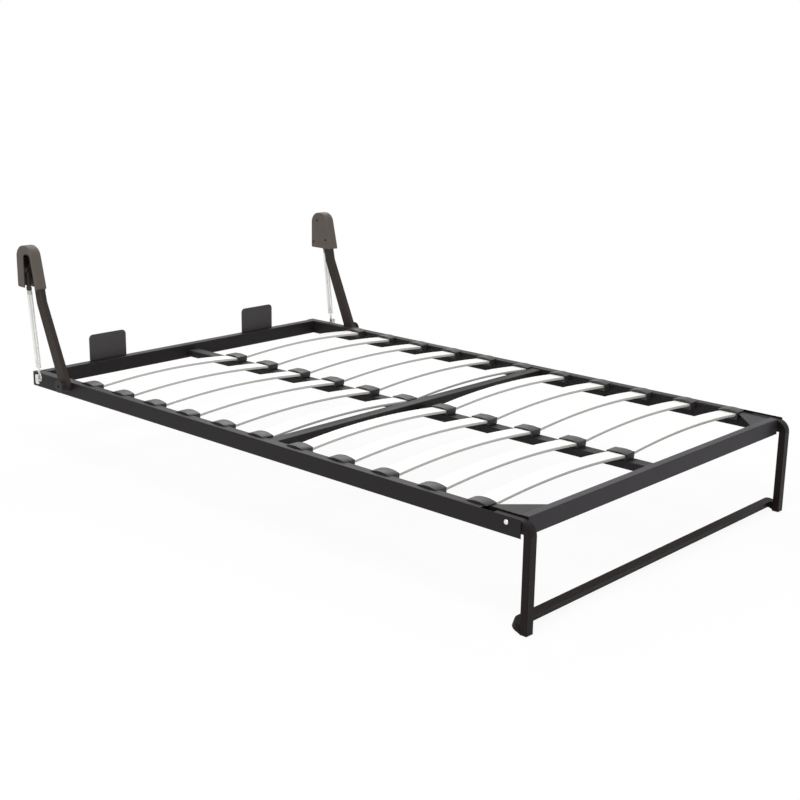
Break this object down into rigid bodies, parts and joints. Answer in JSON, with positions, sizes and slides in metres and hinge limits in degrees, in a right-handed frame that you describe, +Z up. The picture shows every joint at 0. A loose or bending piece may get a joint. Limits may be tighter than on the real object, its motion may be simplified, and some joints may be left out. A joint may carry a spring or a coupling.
{
  "type": "fold down wall bed mechanism",
  "caption": "Slatted steel bed frame with spring-loaded lift arms that pivot on a cabinet side and a swing leg at the foot end.",
  "frame": {"origin": "bottom centre of the whole object, on the floor, with the bed folded down", "axes": "+X from the head end to the foot end, +Y across the bed to its right side, +Z up"},
  "size_m": [1.936, 1.268, 0.666],
  "materials": {
    "powder_coat": "near black powder coat with a fine orange-peel grain, half gloss",
    "cap_plastic": "warm dark grey moulded plastic, fine spark grain",
    "holder_plastic": "black moulded plastic, satin",
    "slat_white": "bent laminated wood with a white foil face",
    "zinc_steel": "bright zinc plated spring steel",
    "dark_steel": "dark coated steel plate",
    "rubber": "black rubber",
    "nylon": "near black moulded nylon, satin",
    "stop_coat": "dark grey powder coat, a little lighter than the frame"
  },
  "bodies": {
    "cabinet_side": {"pivot_plate_left": "dark_steel", "pivot_plate_right": "dark_steel", "spring_anchor_left": "zinc_steel", "spring_anchor_right": "zinc_steel"},
    "bed_frame": {"side_rail_left": "powder_coat", "side_rail_right": "powder_coat", "head_rail": "powder_coat", "foot_rail": "powder_coat", "mid_beam": "powder_coat", "center_beam_head": "powder_coat", "center_beam_foot": "powder_coat", "rail_end_plugs": "holder_plastic", "corner_gussets": "powder_coat", "mattress_stop_left": "stop_coat", "mattress_stop_right": "stop_coat", "slat_left_01": "slat_white", "slat_right_01": "slat_white", "slat_left_02": "slat_white", "slat_right_02": "slat_white", "slat_left_03": "slat_white", "slat_right_03": "slat_white", "slat_left_04": "slat_white", "slat_right_04": "slat_white", "slat_left_05": "slat_white", "slat_right_05": "slat_white", "slat_left_06": "slat_white", "slat_right_06": "slat_white", "slat_left_07": "slat_white", "slat_right_07": "slat_white", "slat_left_08": "slat_white", "slat_right_08": "slat_white", "slat_left_09": "slat_white", "slat_right_09": "slat_white", "slat_left_10": "slat_white", "slat_right_10": "slat_white", "slat_left_11": "slat_white", "slat_right_11": "slat_white", "slat_holders_left": "holder_plastic", "slat_holders_right": "holder_plastic", "slat_holders_center": "holder_plastic", "lift_arm_left": "powder_coat", "lift_arm_right": "powder_coat", "pivot_bushes": "nylon", "arm_cap_left": "cap_plastic", "arm_cap_right": "cap_plastic", "cap_screws": "dark_steel", "spring_pins": "dark_steel", "leg_bolts": "zinc_steel", "leg_stops": "powder_coat"},
    "swing_leg": {"leg_tube_left": "powder_coat", "leg_tube_right": "powder_coat", "leg_crossbar": "powder_coat", "leg_sleeves": "zinc_steel", "foot_glides": "rubber"},
    "spring_left": {"springs_left": "zinc_steel", "spring_yoke_left": "dark_steel"},
    "hook_left": {"spring_hook_left": "zinc_steel"},
    "spring_right": {"springs_right": "zinc_steel", "spring_yoke_right": "dark_steel"},
    "hook_right": {"spring_hook_right": "zinc_steel"}
  },
  "joints": [
    {"name": "bed_fold", "type": "hinge", "parent": "cabinet_side", "child": "bed_frame", "pos_m": [-0.775, 0, 0.26], "axis": [0, -1, 0], "range_deg": [0, 90]},
    {"name": "leg_fold", "type": "hinge", "parent": "bed_frame", "child": "swing_leg", "pos_m": [0.902, 0, 0.256], "axis": [0, 1, 0], "range_deg": [0, 84]},
    {"name": "spring_swing_left", "type": "hinge", "parent": "bed_frame", "child": "spring_left", "pos_m": [-0.928, -0.623, 0.592], "axis": [0, -1, 0], "range_deg": [0, 28.88]},
    {"name": "spring_draw_left", "type": "slide", "parent": "spring_left", "child": "hook_left", "axis": [-0.1203, 0, 0.9927], "range_m": [0, 0.06511], "deforming": ["springs_left"]},
    {"name": "spring_swing_right", "type": "hinge", "parent": "bed_frame", "child": "spring_right", "pos_m": [-0.928, 0.623, 0.592], "axis": [0, -1, 0], "range_deg": [0, 28.88]},
    {"name": "spring_draw_right", "type": "slide", "parent": "spring_right", "child": "hook_right", "axis": [-0.1203, 0, 0.9927], "range_m": [0, 0.06511], "deforming": ["springs_right"]}
  ],
  "couplings": [
    {"joint": "spring_swing_left", "follows": "bed_fold", "ratio": 0.31531},
    {"joint": "spring_draw_left", "follows": "bed_fold", "m_per_rad": 0.040816},
    {"joint": "spring_swing_right", "follows": "bed_fold", "ratio": 0.31531},
    {"joint": "spring_draw_right", "follows": "bed_fold", "m_per_rad": 0.040816}
  ]
}
